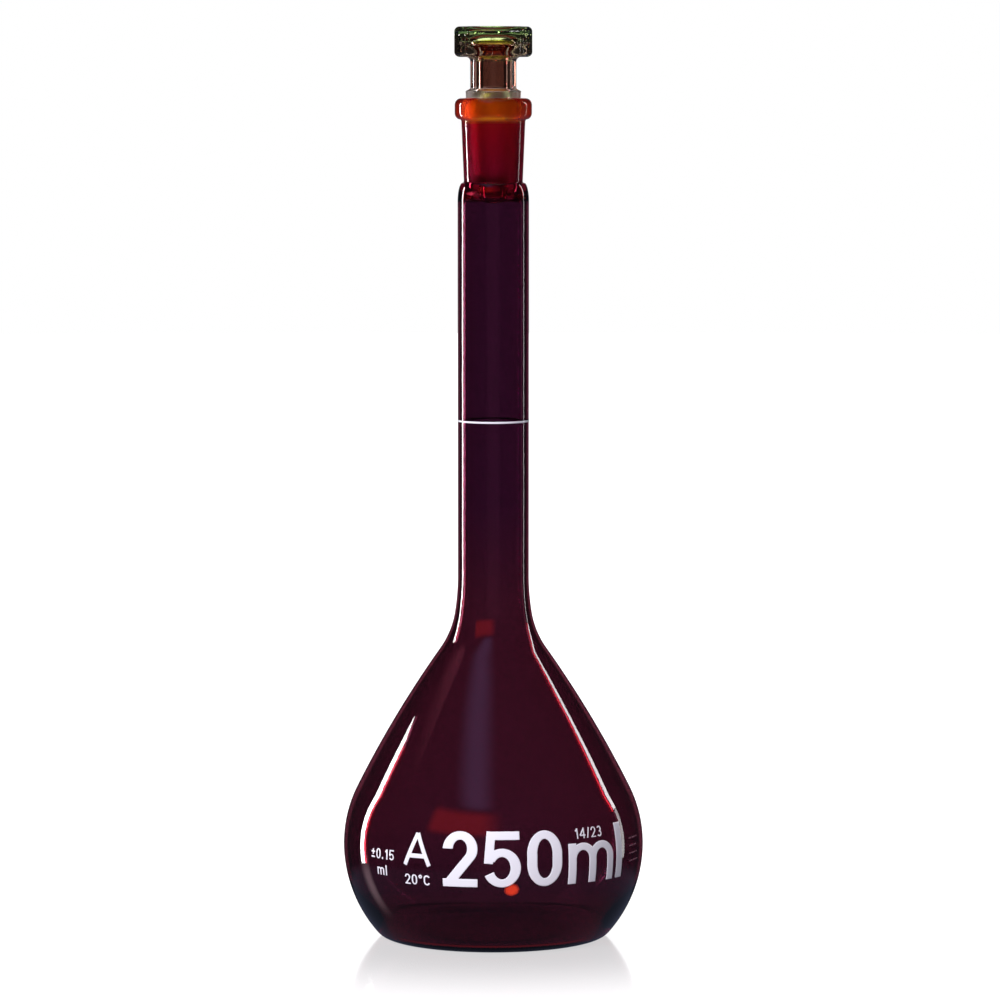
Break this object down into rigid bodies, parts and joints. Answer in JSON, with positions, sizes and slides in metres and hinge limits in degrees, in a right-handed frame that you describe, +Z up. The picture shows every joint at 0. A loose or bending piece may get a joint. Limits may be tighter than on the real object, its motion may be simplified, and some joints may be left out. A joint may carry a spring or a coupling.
{
  "type": "volumetric flask",
  "caption": "Pear-shaped glass flask with a long narrow neck, a ring mark, and a ground-in hollow stopper that lifts straight out.",
  "frame": {"origin": "centre of the base, in the plane the flask stands on", "axes": "+Z up along the axis of the bulb, neck and stopper; the capacity figures face -Y"},
  "size_m": [0.0796, 0.0797, 0.2415],
  "materials": {
    "flask_glass": "very dark maroon-brown glass, fire-polished and glossy",
    "ground_glass": "red-brown glass, finely ground inside the taper, fire-polished outside",
    "stopper_glass": "smoky amber glass, moulded and polished head, finely ground cone",
    "white_enamel": "opaque white vitreous enamel, fired on, satin"
  },
  "bodies": {
    "flask": {"bulb": "flask_glass", "neck_tube": "flask_glass", "ground_socket": "ground_glass", "ring_mark": "white_enamel", "figure_2": "white_enamel", "figure_5": "white_enamel", "figure_0": "white_enamel", "letter_m": "white_enamel", "letter_l": "white_enamel"},
    "stopper": {"stopper": "stopper_glass"}
  },
  "joints": [
    {"name": "stopper_lift", "type": "slide", "parent": "flask", "child": "stopper", "axis": [0, 0, 1], "range_m": [0, 0.06]}
  ]
}
